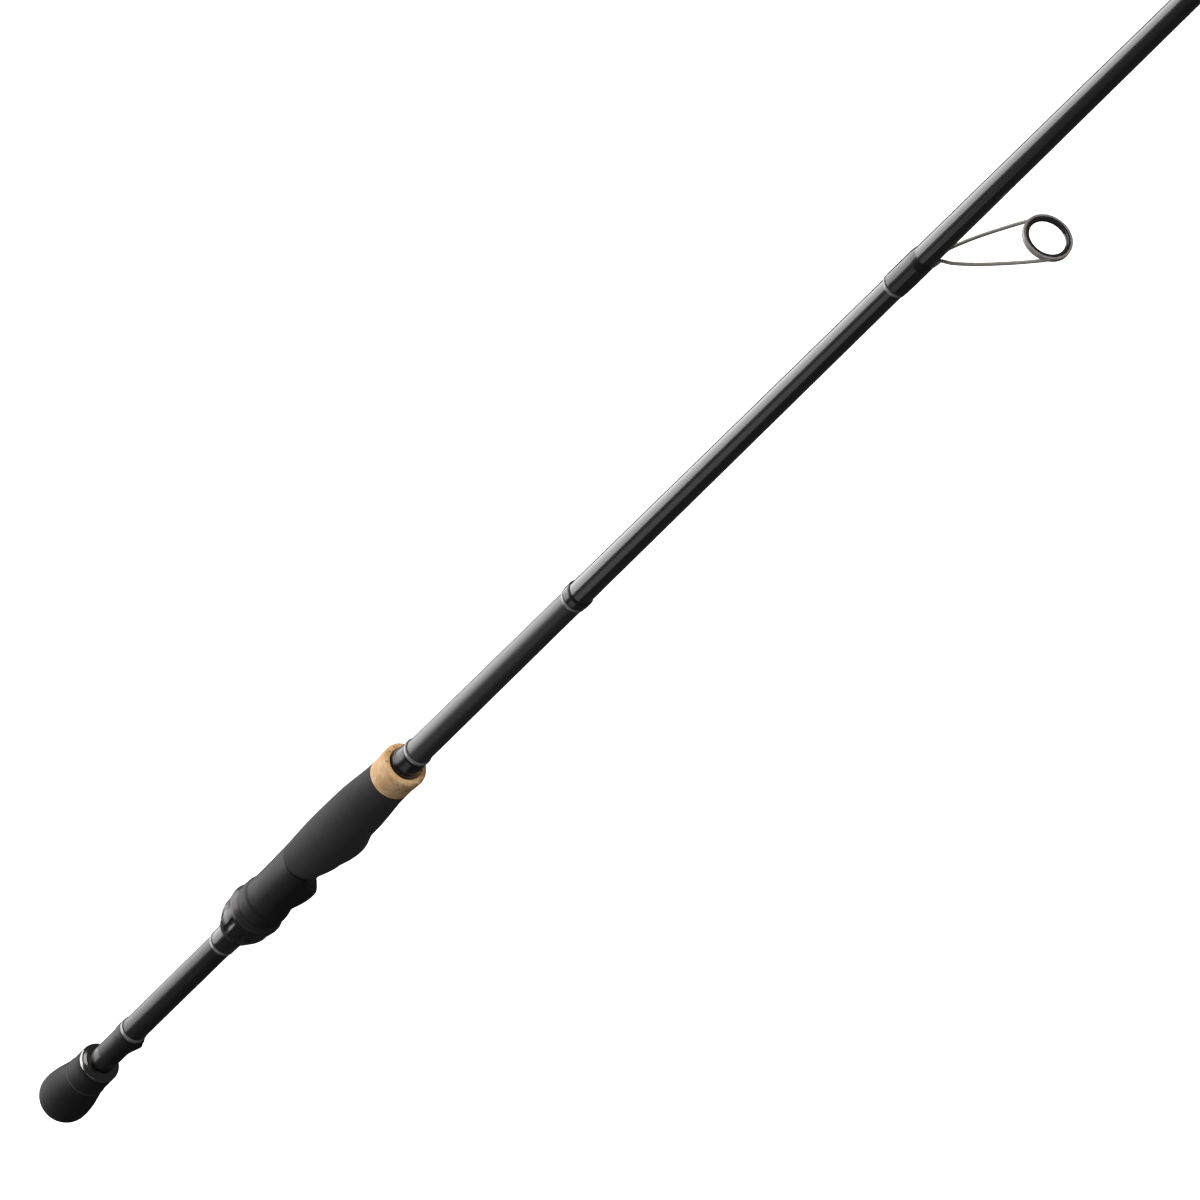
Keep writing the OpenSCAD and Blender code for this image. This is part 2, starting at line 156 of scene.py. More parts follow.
def carbon(name, dark, light, rough, coat, coat_rough, depth, contrast):
    """Woven carbon tape wound on the blank: two crossing sets of fine diagonal lines."""
    pitch, laps = 0.0019, 16
    p = Paint(name, dark, rough, Coat_Weight=coat, Coat_Roughness=coat_rough, IOR=1.5)
    x, turn = p.around()
    run = p.math("MULTIPLY", x, 2 * math.pi / pitch)
    lap = p.math("MULTIPLY", turn, laps)
    wob = p.ramp(p.noise(900, 2), 0, 1, -1.1, 1.1)
    one = p.math("SINE", p.math("ADD", p.math("ADD", run, lap), wob))
    two = p.math("SINE", p.math("ADD", p.math("SUBTRACT", run, lap), wob))
    weave = p.ramp(p.math("ADD", p.math("MULTIPLY", one, 0.7), p.math("MULTIPLY", two, 0.3)), -1, 1)
    speck = p.ramp(p.noise(2600, 4, 0.7, (0.35, 1, 1)), 0.35, 0.75)
    fac = p.math("MULTIPLY", weave, p.ramp(speck, 0, 1, 0.55, 1))
    p.color(p.mix(fac, dark, light))
    p.rough(p.ramp(fac, 0, 1, rough + contrast, rough - contrast))
    p.bump(fac, depth, 0.6)
    return p.mat


def foam(name, dark, light, rough, grain, pore_depth, line=None, sheen=0.12):
    """Closed-cell foam: sanded grain with small open pores.

    line is the place of the scribed line along the rod, in metres, where a pale band is painted in as a
    highlight.
    """
    p = Paint(name, dark, rough, Sheen_Weight=sheen, Sheen_Roughness=0.5, IOR=1.45)
    fine = p.noise(2600, 4, 0.65)
    blotch = p.noise(160, 3, 0.5)
    pores = p.ramp(p.cells(grain), 0.05, 0.32)
    tone = p.math("MULTIPLY", p.ramp(blotch, 0.3, 0.7, 0.35, 1), p.ramp(fine, 0.3, 0.7, 0.7, 1))
    color = p.mix(p.math("MULTIPLY", tone, pores), dark, light)
    # Painted highlight: a pale band of colour round the rod at x = line stands in for the light that the
    # scribed bead catches.
    if line:
        off = p.math("ABSOLUTE", p.math("SUBTRACT", p.around()[0], line))
        painted_highlight = tuple(c * 4 for c in light)
        color = p.mix(p.ramp(off, 0.0003, 0.0006, 0.9, 0), color, painted_highlight)
    p.color(color)
    p.rough(p.ramp(fine, 0.25, 0.75, rough - 0.07, rough + 0.1))
    height = p.math("ADD", p.math("MULTIPLY", fine, 0.7), p.math("MULTIPLY", pores, 0.5))
    p.bump(height, pore_depth, 0.5)
    return p.mat


def moulded(name, dark, light, rough, grain_depth, edge, coat=0.0):
    """Moulded plastic with a fine spark-eroded grain and faint handling wear."""
    p = Paint(name, dark, rough, Coat_Weight=coat, Coat_Roughness=0.12, IOR=1.48)
    fine = p.noise(3800, 3, 0.6)
    wear = p.noise(75, 4, 0.6, (0.45, 1, 1))
    p.color(p.mix(p.ramp(wear, 0.38, 0.68), dark, light))
    worn = p.ramp(wear, 0.35, 0.7, rough + 0.05, rough - 0.05)
    p.rough(p.math("ADD", worn, p.ramp(fine, 0, 1, -0.04, 0.04)))
    p.bump(fine, grain_depth, 0.5, edge)
    return p.mat


def metal(name, color, rough, lines, depth, tint=0.12, metallic=1.0):
    """Turned metal: fine rings round the rod, with a little uneven polish."""
    p = Paint(name, color, rough, Metallic=metallic)
    rings = p.noise(240, 5, 0.7, (lines, 0.6, 0.6))
    haze = p.noise(420, 3)
    low = tuple(c * (1 - tint) for c in color)
    p.color(p.mix(p.ramp(haze, 0.3, 0.7), low, color))
    p.rough(p.ramp(rings, 0.3, 0.7, rough * 0.7, rough * 1.35))
    p.bump(rings, depth, 0.4)
    return p.mat


def thread_wrap(name, dark, light, pitch):
    """Fine thread laid side by side under a clear coat of epoxy."""
    p = Paint(name, dark, 0.42, Coat_Weight=0.9, Coat_Roughness=0.12, IOR=1.5)
    x, turn = p.around()
    lay = p.math("ADD", p.math("MULTIPLY", x, 2 * math.pi / pitch), turn)
    ridge = p.ramp(p.math("SINE", lay), -1, 1)
    fluff = p.noise(1500, 3, 0.6, (1, 0.5, 0.5))
    p.color(p.mix(p.math("MULTIPLY", ridge, p.ramp(fluff, 0.3, 0.7, 0.4, 1)), dark, light))
    p.rough(p.ramp(fluff, 0.3, 0.7, 0.34, 0.5))
    p.bump(ridge, 0.00006, 0.8)
    return p.mat


def cork(name):
    """Sanded cork: warm mottled grain with dark pits and lenticels."""
    tan, honey, rust = (0.72, 0.4, 0.165), (0.93, 0.64, 0.36), (0.5, 0.25, 0.09)
    rubbed, pit, slit = (0.92, 0.66, 0.4), (0.36, 0.17, 0.06), (0.3, 0.14, 0.05)
    p = Paint(name, (0.6, 0.36, 0.16), 0.72, Sheen_Weight=0.08, IOR=1.42)
    mottle = p.noise(300, 5, 0.62, (1, 0.7, 0.7))
    fleck = p.noise(1100, 4, 0.7)
    pits = p.ramp(p.cells(430, (0.8, 1, 1)), 0.10, 0.3)
    slots = p.ramp(p.noise(240, 2, 0.4, (2.6, 0.9, 0.9)), 0.66, 0.72)
    base = p.mix(p.ramp(mottle, 0.32, 0.68), tan, honey)
    flecked = p.mix(p.ramp(fleck, 0.58, 0.74), base, rust)
    worn = p.mix(p.math("MULTIPLY", p.ramp(fleck, 0.3, 0.45, 1, 0), 0.5), flecked, rubbed)
    open_pits = p.math("MULTIPLY", p.math("SUBTRACT", 1, pits), p.ramp(mottle, 0.42, 0.55))
    holed = p.mix(open_pits, worn, pit)
    p.color(p.mix(p.math("MULTIPLY", slots, 0.55), holed, slit))
    p.rough(p.ramp(fleck, 0.3, 0.7, 0.62, 0.82))
    grain = p.math("ADD", p.math("MULTIPLY", pits, 0.5), p.math("MULTIPLY", fleck, 0.3))
    p.bump(p.math("SUBTRACT", grain, slots), 0.00012, 0.6)
    return p.mat


def ceramic(name, dark, light):
    """Polished guide-ring ceramic, faintly clouded."""
    p = Paint(name, dark, 0.12, IOR=1.7)
    clouds = p.noise(520, 4, 0.6)
    p.color(p.mix(p.ramp(clouds, 0.3, 0.7), dark, light))
    p.rough(p.ramp(clouds, 0.3, 0.7, 0.08, 0.17))
    p.bump(p.noise(3000, 2), 0.000004, 0.4)
    return p.mat


LOOK = {
    "blank_rear": carbon("carbon_rear", (0.003, 0.0029, 0.0029), (0.017, 0.0162, 0.0158), rough=0.42,
                         coat=0.35, coat_rough=0.1, depth=0.00002, contrast=0.08),
    "blank_gloss": carbon("carbon_under_gloss", (0.005, 0.005, 0.0054), (0.022, 0.022, 0.0225), rough=0.34,
                          coat=1.0, coat_rough=0.08, depth=0.00002, contrast=0.08),
    "blank_satin": carbon("carbon_satin", (0.02, 0.02, 0.021), (0.031, 0.031, 0.032), rough=0.42,
                          coat=1.0, coat_rough=0.42, depth=0.000008, contrast=0.04),
    "foam": foam("foam_grip", (0.014, 0.0133, 0.0136), (0.028, 0.0268, 0.0273), 0.8, grain=1500,
                 pore_depth=0.00007),
    # The cap's foam has a painted highlight: a pale band at its scribed bead.
    "cap_foam": foam("foam_cap", (0.005, 0.0048, 0.0048), (0.0135, 0.013, 0.0128), 0.66, grain=1200,
                     pore_depth=0.00007, line=0.0298, sheen=0.03),
    "seat": foam("seat_soft_touch", (0.0125, 0.0119, 0.0122), (0.026, 0.025, 0.0255), 0.78, grain=1900,
                 pore_depth=0.00004),
    "hood": moulded("hood_plastic", (0.0095, 0.0091, 0.0093), (0.0165, 0.0158, 0.0162), 0.56,
                    grain_depth=0.00002, edge=0.0005),
    "keeper": moulded("keeper_plastic", (0.007, 0.007, 0.007), (0.012, 0.012, 0.012), 0.5,
                      grain_depth=0.000015, edge=0.0003),
    "nut": moulded("nut_plastic", (0.005, 0.005, 0.005), (0.009, 0.009, 0.009), 0.33,
                   grain_depth=0.00001, edge=0.0004, coat=0.2),
    "check": moulded("check_plastic", (0.005, 0.005, 0.005), (0.009, 0.009, 0.009), 0.28,
                     grain_depth=0.000006, edge=0.0002, coat=0.35),
    "satin": metal("satin_metal", (0.13, 0.122, 0.126), 0.36, lines=12, depth=0.00001, metallic=0.85),
    "chrome": metal("polished_metal", (0.36, 0.352, 0.345), 0.2, lines=9, depth=0.000005),
    "silver": metal("silver_trim", (0.36, 0.36, 0.372), 0.38, lines=14, depth=0.00001, metallic=0.5),
    "wire": metal("polished_wire", (0.52, 0.48, 0.44), 0.4, lines=1, depth=0.000006, tint=0.2, metallic=0.4),
    "thread": thread_wrap("black_thread", (0.004, 0.004, 0.0045), (0.015, 0.015, 0.017), pitch=0.00028),
    "cork": cork("sanded_cork"),
    "ceramic": ceramic("dark_ceramic", (0.018, 0.017, 0.019), (0.034, 0.032, 0.035)),
    "bushing": foam("bushing_foam", (0.36, 0.29, 0.17), (0.55, 0.46, 0.3), 0.8, grain=900, pore_depth=0.0001),
}


# ---------------------------------------------------------------- mesh code, all in millimetres

def new_object(name, verts, faces):
    """A mesh object from vertices in millimetres."""
    me = bpy.data.meshes.new(name)
    me.from_pydata([tuple(float(c) * MM for c in v) for v in verts], [], faces)
    me.update()
    ob = bpy.data.objects.new(name, me)
    bpy.context.scene.collection.objects.link(ob)
    return ob


def dress(ob, look, body, nodes, sharp):
    """Material, shading, body, replaced CAD nodes and slot; edges over sharp degrees stay sharp."""
    me = ob.data
    me.materials.clear()
    me.materials.append(LOOK[look])
    me.polygons.foreach_set("use_smooth", [True] * len(me.polygons))
    me.set_sharp_from_angle(angle=math.radians(sharp))
    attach(ob, body)
    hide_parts(*nodes)


def piece(name, verts, faces, look, body, nodes, sharp=32.0):
    """A finished piece from vertices in millimetres, riding on a body and standing for CAD nodes."""
    dress(new_object(name, verts, faces), look, body, nodes, sharp)


def rings_to_mesh(rings, closed):
    """Vertices and faces from rings of points of equal length; a ring of one point is a pole."""
    verts, start = [], []
    for r in rings:
        start.append(len(verts))
        verts.extend(r)
    faces = []
    pairs = list(zip(range(len(rings) - 1), range(1, len(rings))))
    if closed:
        pairs.append((len(rings) - 1, 0))
    for a, b in pairs:
        na, nb = len(rings[a]), len(rings[b])
        if na == 1 and nb == 1:
            continue
        n = max(na, nb)
        for k in range(n):
            after = (k + 1) % n
            if na == 1:
                faces.append((start[a], start[b] + after, start[b] + k))
            elif nb == 1:
                faces.append((start[a] + k, start[a] + after, start[b]))
            else:
                faces.append((start[a] + k, start[a] + after, start[b] + after, start[b] + k))
    return verts, faces


def turned(profile, segs=112, radius=None, closed=True):
    """Rings about the rod's axis from (x, r) points; angles start at -Z.

    radius(x, r, angles) may change the radius, with one number or one for each angle.
    """
    turn = np.arange(segs) * 2 * np.pi / segs
    rings = []
    for x, r in profile:
        if r < 1e-6:
            rings.append([(x, 0.0, 0.0)])
            continue
        rr = np.broadcast_to(radius(x, r, turn) if radius else r, segs)
        rings.append(list(zip(np.full(segs, float(x)), -rr * np.sin(turn), -rr * np.cos(turn))))
    return rings_to_mesh(rings, closed)


def rounded(points, radius, steps=5):
    """Rounds the corners of an open outline; radius is one number or one for each point."""
    pts = [np.array(p, float) for p in points]
    radii = radius if isinstance(radius, (list, tuple)) else [radius] * len(pts)
    out = [tuple(pts[0])]
    for a, b, c, r in zip(pts, pts[1:], pts[2:], radii[1:]):
        u, v = a - b, c - b
        lu, lv = np.linalg.norm(u), np.linalg.norm(v)
        if r <= 0 or lu < 1e-6 or lv < 1e-6:
            out.append(tuple(b))
            continue
        u, v = u / lu, v / lv
        reach = min(r / max(1e-3, math.tan(math.acos(max(-1, min(1, float(u @ v)))) / 2)), lu * 0.45, lv * 0.45)
        p, q = b + u * reach, b + v * reach
        for k in range(steps + 1):
            t = k / steps
            out.append(tuple((1 - t) ** 2 * p + 2 * t * (1 - t) * b + t * t * q))
    out.append(tuple(pts[-1]))
    return out


def smooth_line(points, per=8):
    """A Catmull-Rom curve through points of any dimension."""
    p = [np.array(q, float) for q in points]
    p = [2 * p[0] - p[1]] + p + [2 * p[-1] - p[-2]]
    out = []
    for i in range(1, len(p) - 2):
        for k in range(per):
            t = k / per
            out.append(0.5 * (2 * p[i] + (p[i + 1] - p[i - 1]) * t
                              + (2 * p[i - 1] - 5 * p[i] + 4 * p[i + 1] - p[i + 2]) * t * t
                              + (3 * p[i] - p[i - 1] - 3 * p[i + 1] + p[i + 2]) * t ** 3))
    out.append(p[-2])
    return out


def ease(x, xs, ys):
    """Monotone smooth interpolation of a table."""
    x = np.clip(np.asarray(x, float), xs[0], xs[-1])
    xs, ys = np.asarray(xs, float), np.asarray(ys, float)
    h, d = np.diff(xs), np.diff(ys) / np.diff(xs)
    m = np.zeros(len(xs))
    for i in range(1, len(xs) - 1):
        if d[i - 1] * d[i] > 0:
            w1, w2 = 2 * h[i] + h[i - 1], h[i] + 2 * h[i - 1]
            m[i] = (w1 + w2) / (w1 / d[i - 1] + w2 / d[i])
    m[0], m[-1] = d[0], d[-1]
    i = np.clip(np.searchsorted(xs, x) - 1, 0, len(h) - 1)
    t = (x - xs[i]) / h[i]
    return ((2 * t ** 3 - 3 * t ** 2 + 1) * ys[i] + (t ** 3 - 2 * t ** 2 + t) * h[i] * m[i]
            + (3 * t ** 2 - 2 * t ** 3) * ys[i + 1] + (t ** 3 - t ** 2) * h[i] * m[i + 1])


def tube(path, radius, segs):
    """A round wire along a path, with domed ends."""
    path = [np.array(p, float) for p in path]
    rings, normal = [], None
    for i, p in enumerate(path):
        t = path[min(i + 1, len(path) - 1)] - path[max(i - 1, 0)]
        t /= np.linalg.norm(t)
        if normal is None:
            normal = np.cross(t, (0.3, 0.2, 1.0))
        normal = normal - t * (normal @ t)
        normal /= np.linalg.norm(normal)
        side = np.cross(t, normal)
        ring = [p + radius * (math.cos(a) * normal + math.sin(a) * side)
                for a in np.arange(segs) * 2 * np.pi / segs]
        if i == 0:
            rings.append([p - t * radius * 0.8])
            rings.append([p + (q - p) * 0.75 - t * radius * 0.55 for q in ring])
        rings.append(ring)
        if i == len(path) - 1:
            rings.append([p + (q - p) * 0.75 + t * radius * 0.55 for q in ring])
            rings.append([p + t * radius * 0.8])
    return rings_to_mesh(rings, False)


def joined(*parts):
    """Several (vertices, faces) as one."""
    verts, faces = [], []
    for v, f in parts:
        base = len(verts)
        verts.extend([tuple(p) for p in v])
        faces.extend([tuple(i + base for i in q) for q in f])
    return verts, faces


def placed(part, matrix):
    """(vertices, faces) moved by a matrix."""
    v, f = part
    return [tuple(matrix @ Vector(p)) for p in v], f


def carve(ob, tools, operation="DIFFERENCE"):
    """Booleans ob with each tool in turn and removes the tools."""
    for cutter in tools:
        m = ob.modifiers.new("cut", "BOOLEAN")
        m.operation, m.solver, m.object = operation, "EXACT", cutter
    graph = bpy.context.evaluated_depsgraph_get()
    me = bpy.data.meshes.new_from_object(ob.evaluated_get(graph))
    ob.modifiers.clear()
    old, ob.data = ob.data, me
    bpy.data.meshes.remove(old)
    for cutter in tools:
        bpy.data.objects.remove(cutter)
    return ob


def block(x0, x1, y0, y1, z0, z1):
    """A box as a cutting tool."""
    v = [(x, y, z) for x in (x0, x1) for y in (y0, y1) for z in (z0, z1)]
    f = [(0, 1, 3, 2), (4, 6, 7, 5), (0, 4, 5, 1), (2, 3, 7, 6), (0, 2, 6, 4), (1, 5, 7, 3)]
    return v, f


def tool(part):
    """A bare object to build or cut a piece with."""
    return new_object("tool", *part)


# ---------------------------------------------------------------- the rod's numbers, as in the CAD

ROD_LEN = 2134.0
BLANK_END = ROD_LEN - 10
HANDLE_R, BUTT_R, TAPER_R, TIP_R = 5.6, 5.65, 4.48, 1.0
BUTT_STEP, TAPER_START, TAPER_CHANGE = 76.3, 345, 900
SATIN_START, SATIN_END = 334.7, 465.7
SEAT_TAIL, SHOULDER, SEAT_END = 171.8, 235.2, 276.5
SEAT_BORE = 6.4
SLIDE_R = 8.23
BORE_FLAT = 7.43
SADDLE = -7.4
RELIEF = 0.05
POCKET_Z = -3.6
# In the photograph's view 1 mm down moves the silhouette this far, in mm. Heights marked "in view" use it.
VIEW_DROP = 0.788


def blank_r(x):
    """The blank's outer radius at x."""
    if x < BUTT_STEP:
        return BUTT_R
    return float(np.interp(x, [TAPER_START, TAPER_CHANGE, BLANK_END], [HANDLE_R, TAPER_R, TIP_R]))


# ---------------------------------------------------------------- blank

def blank_part(name, x0, x1, look):
    """A stretch of the tube, with a ring wherever the taper changes."""
    changes = [float(v) for v in (TAPER_START, TAPER_CHANGE) if x0 < v < x1]
    xs = np.unique(np.concatenate([np.arange(x0, x1, 20.0), [x1], changes]))
    outer = [(x, blank_r(x)) for x in xs]
    inner = [(x1, blank_r(x1) - 0.45), (x0, blank_r(x0) - 0.9)]
    piece(name, *turned(outer + inner, 96), look, "rod", ["blank"])


blank_part("blank_butt", 3.0, 76.2, "blank_rear")
blank_part("blank_handle", BUTT_STEP, SATIN_START, "blank_rear")
blank_part("blank_label", SATIN_START, SATIN_END, "blank_satin")
blank_part("blank_upper", SATIN_END, BLANK_END, "blank_gloss")


# ---------------------------------------------------------------- butt cap, keeper and trim rings

def cap_profile():
    """A ball end that blends down to a slimmer neck, with a small scribed bead."""
    ball, rim, neck = 9.6, 11.65, 9.1
    blend, blend_len = 10.7, 23.1
    bead, bead_width, bead_high = 29.8, 0.3, 0.16
    pts = [(0.0, 0.0), (0.0, 1.6)]
    for k in range(13):
        a = math.pi / 2 * k / 12
        pts.append((ball * (1 - math.cos(a)), 2.65 + 9.0 * math.sin(a)))
    xs = np.concatenate([np.linspace(blend, 28.6, 20), np.linspace(28.9, 30.7, 14), np.linspace(31.2, 33.8, 5),
                         [35.0, 37.5]])
    for x in xs:
        r = neck + (rim - neck) * (1 + math.cos(math.pi * min(1, (x - blend) / blend_len))) / 2
        pts.append((x, r + bead_high * math.exp(-((x - bead) / bead_width) ** 2)))
    pts += [(41.1, 9.08), (41.4, 8.9), (41.45, 5.7), (3.0, 5.7), (3.0, 0.0)]
    return pts


piece("butt_cap_foam", *turned(cap_profile(), closed=False), "cap_foam", "rod", ["butt_cap"], 40)

outline = rounded([(41.5, 5.7), (41.5, 9.0), (42.7, 9.05), (43.5, 8.85), (44.2, 8.2), (44.7, 7.3), (45.0, 6.25),
                   (45.0, 5.7)], [0, 0.25, 0.8, 0.8, 0.8, 0.6, 0.1, 0])
piece("butt_ring_polished", *turned(outline), "chrome", "rod", ["butt_ring"])


def trim_ring(name, x0, x1, build):
    """A thin bright band that stands build over the blank."""
    r0 = blank_r((x0 + x1) / 2)
    low, high = r0 + 0.02, r0 + build
    outline = rounded([(x0, low), (x0, high), (x1, high), (x1, low)], min(0.3, build * 0.8))
    piece(name + "_band", *turned(outline, 96), "silver", "rod", [name])


trim_ring("keeper_ring", 74.3, 76.2, 0.35)
trim_ring("seat_trim_ring", 158.3, 159.7, 0.35)
trim_ring("check_ring", 333.1, 334.7, 0.6)
trim_ring("label_ring", 465.6, 467.0, 0.4)


def keeper():
    """The collar and its swept fin, blended at its root."""
    x0, x1 = 52.6, 74.2
    arc_r, fin_high, root_width = 6.5, 3.5, 2.6

    def radius(x, r, turn):
        if r <= 5.7:
            return r
        fin = float(ease(x, [x0, 54.0, 57.0, 61.0, 63.6, 64.6, 65.6, 68.0, 71.5, 73.8, x1],
                         [0.0, 0.25, 1.0, 2.35, 3.3, 3.5, 3.25, 2.35, 1.1, 0.1, 0.0]))
        across = np.abs(np.arctan2(np.sin(turn), np.cos(turn))) * arc_r
        width = 1.15 + 0.35 * (fin_high - fin) / fin_high
        blade = 1 / (1 + np.exp((across - width) / 0.16))
        skirt = np.exp(-(across / root_width) ** 2) * min(fin, 0.45)
        return r + np.maximum(fin * blade, skirt)

    xs = np.concatenate([np.linspace(x0, 68.0, 44), np.linspace(68.2, x1, 22)])
    outer = [(x, float(ease(x, [x0, 67.6, 68.4, 69.6, 73.5, x1], [5.72, 5.76, 5.95, 6.12, 6.12, 5.95])))
             for x in xs]
    profile = [(x0, 5.66)] + outer + [(x1, 5.66)]
    piece("hook_keeper_fin", *turned(profile, 220, radius), "keeper", "rod", ["hook_keeper"], 50)


keeper()


# ---------------------------------------------------------------- windings

def winding(name, x0, x1, build, nodes, foot=None, ends=1.3, first=None, front=None):
    """Thread under epoxy: a low sleeve with soft ends, ends long at x0 and front long at x1.

    build is its height over the blank and first, if given, the height it starts from at x0.
    foot = (half width, toe) swells its underside over a guide's foot.
    """
    front = front or ends
    skin = 0.03
    xs = np.concatenate([np.linspace(x0, x0 + ends, 9), np.linspace(x0 + ends + 0.3, x1 - front - 0.3, 26),
                         np.linspace(x1 - front, x1, 12)])

    def radius(x, r, turn):
        base = blank_r(x)
        if not foot or r < base + 0.01:
            return r
        half, toe = foot
        under = (np.cos(turn) > 0) / (1 + np.exp((np.abs(base * np.sin(turn)) - half) / 0.35))
        return r - 0.16 + 0.3 * min(1, max(0, (x - toe) / 4.0)) * under

    outer = []
    for x in xs:
        lift = min(1.0, (x - x0) / ends, (x1 - x) / front)
        lift = math.sin(max(0.0, lift) * math.pi / 2)
        high = build if first is None else first + (build - first) * (x - x0) / (x1 - x0)
        outer.append((x, blank_r(x) + skin + (high - skin) * (0.12 + 0.88 * lift)))
    profile = [(x0, blank_r(x0) - 0.02)] + outer + [(x1, blank_r(x1) - 0.02)]
    piece(name, *turned(profile, 128, radius), "thread", "rod", nodes, 40)


winding("seat_winding_thread", 159.8, 171.7, 0.75, ["seat_winding"], first=0.3)
winding("label_winding_thread", 467.1, 472.6, 0.62, ["label_winding"])


# ---------------------------------------------------------------- reel seat

def hull_radius(circles, turn):
    """Distance from the axis to the hull of circles (z, r) centred on the upright plane, at angles from -Z."""
    psi = np.linspace(-np.pi, np.pi, 721)
    support = np.max([r - z * np.cos(psi) for z, r in circles], axis=0)
    off = turn[:, None] - psi[None, :]
    c = np.cos(off)
    with np.errstate(divide="ignore"):
        reach = np.where(c > 0.05, support[None, :] / np.where(c > 0.05, c, 1), 1e9)
    return reach.min(axis=1)


def view_circle(high, r):
    """The circle (z, r) whose lower edge reaches high below the axis, in view."""
    return -max(0.0, (high - r) / VIEW_DROP), r


def seat_circles(x):
    """The upper and the lower circle that the fixed hood and saddle are wrapped round."""
    top_r = float(ease(x, [SHOULDER, 240, 249, 261, SEAT_END], [9.1, 9.9, 11.0, 11.3, 11.2]))
    top_z = float(ease(x, [SHOULDER, 240, 249, 261], [1.7, 1.0, 0.1, 0.0]))
    low_h = float(ease(x, [SHOULDER, 239, 244, 250, 256, 260, 262.5, 266, 270, 274, SEAT_END],
                       [8.2, 8.75, 9.95, 11.4, 12.7, 13.15, 13.15, 12.7, 11.95, 11.3, 11.2]))
    low_r = float(ease(x, [SHOULDER, 245, 255, 264, 270, SEAT_END], [8.1, 8.9, 9.5, 9.5, 10.2, 11.19]))
    return [(top_z, top_r), view_circle(low_h, low_r)]


def barrel():
    """Threaded tail and plain barrel, with a real right-hand helix."""
    pitch, groove = 2.0, 0.5
    start, end = 172.4, 192.6

    def radius(x, r, turn):
        if r < 7.0 or x > end:
            return r
        phase = ((x - start) / pitch + turn / (2 * np.pi)) % 1.0
        cut = np.clip((0.28 - np.abs(phase - 0.5)) / 0.16, 0, 1)
        fade = min(1.0, max(0.0, (x - 172.6) / 1.2), max(0.0, (192.4 - x) / 1.5))
        return r - groove * cut * fade

    xs = np.concatenate([np.arange(start, 192.7, 0.17), [193, 200, 215, 230, 236.4]])
    outer = [(171.9, 7.5), (172.0, 7.75)] + [(x, 8.15) for x in xs]
    inner = [(236.4, SEAT_BORE), (173.4, SEAT_BORE), (173.4, 5.62)]
    return turned([(SEAT_TAIL, 5.62), (SEAT_TAIL, 7.45)] + outer + inner, 96, radius)


def seat():
    """The barrel with its flat, joined to the saddle and the fixed hood with its pocket."""
    ob = tool(barrel())
    carve(ob, [tool(block(170, SHOULDER, -12, 12, -12, SADDLE + RELIEF))])
    xs = np.linspace(SHOULDER, SEAT_END, 84)
    shape = {round(float(x), 4): seat_circles(x) for x in xs}

    def radius(x, r, turn):
        if r < 6.5:
            return r
        return hull_radius(shape[round(float(x), 4)], turn)

    outer = [(float(x), 9.0) for x in xs]
    body = tool(turned([(SHOULDER, SEAT_BORE)] + outer + [(SEAT_END, SEAT_BORE)], 144, radius))
    turn = np.linspace(0, 2 * np.pi, 40, endpoint=False)

    def arch(x, r):
        return [(x, r * math.sin(a), POCKET_Z + r * math.cos(a)) for a in turn]

    arches = [arch(x, r) for x, r in ((258.5, 9.4), (262, 9.15), (266, 8.6), (269.5, 7.9), (270.7, 7.0))]
    pocket = tool(rings_to_mesh([[(258.5, 0, POCKET_Z)]] + arches + [[(270.9, 0, POCKET_Z)]], False))
    slab = tool(block(257, 275, -6.5, 6.5, -20, SADDLE + RELIEF))
    carve(pocket, [slab], "INTERSECT")
    channel = tool(block(234.0, 260.2, -6.5, 6.5, -20, SADDLE))
    carve(body, [channel, pocket])
    carve(ob, [body], "UNION")
    ob.name = "reel_seat_body"
    dress(ob, "seat", "rod", ["reel_seat"], 28)


seat()


# ---------------------------------------------------------------- lock nut, its ring and the moving hood

def nut():
    """The grip: shallow flutes that fade out into the flange, a spigot inside the ring."""
    flutes, flute_depth, step = 10, 0.45, 0.6
    grip = rounded([(174.3, SLIDE_R), (174.3, 8.7), (175.4, 9.3), (177.0, 9.95), (179.0, 10.65), (181.1, 11.1),
                    (184.0, 11.2), (186.8, 11.6), (189.5, 12.0), (189.95, 12.0)],
                   [0, 0.35, 0.8, 1.5, 1.5, 1.5, 2, 2, 0.3, 0], 3)
    outer = [grip[0]]
    for a, b in zip(grip, grip[1:]):
        n = max(1, int(abs(b[0] - a[0]) / step))
        outer += [(a[0] + (b[0] - a[0]) * k / n, a[1] + (b[1] - a[1]) * k / n) for k in range(1, n + 1)]

    def radius(x, r, turn):
        along = min(1.0, max(0.0, (x - 175.2) / 1.6), max(0.0, (189.1 - x) / 2.6))
        along = along * along * (3 - 2 * along)
        dip = np.clip((np.cos(flutes * turn) - 0.25) / 0.75, 0, 1) ** 0.8
        return r - flute_depth * dip * along

    inner = [(189.97, 11.9), (189.97, 10.2), (191.7, 10.2), (191.7, 9.58), (190.5, 9.58), (190.5, SLIDE_R)]
    piece("lock_nut_grip", *turned(outer + inner, 240, radius), "nut", "nut", ["lock_nut"], 40)


nut()
outline = rounded([(190.02, 10.22), (190.02, 11.98), (190.5, 12.0), (193.6, 10.8), (193.9, 10.6), (193.9, 9.58),
                   (191.75, 9.58), (191.75, 10.22)], [0, 0.1, 0.35, 0.2, 0.15, 0.1, 0, 0])
piece("nut_ring_satin", *turned(outline, 144), "satin", "nut", ["nut_ring"])


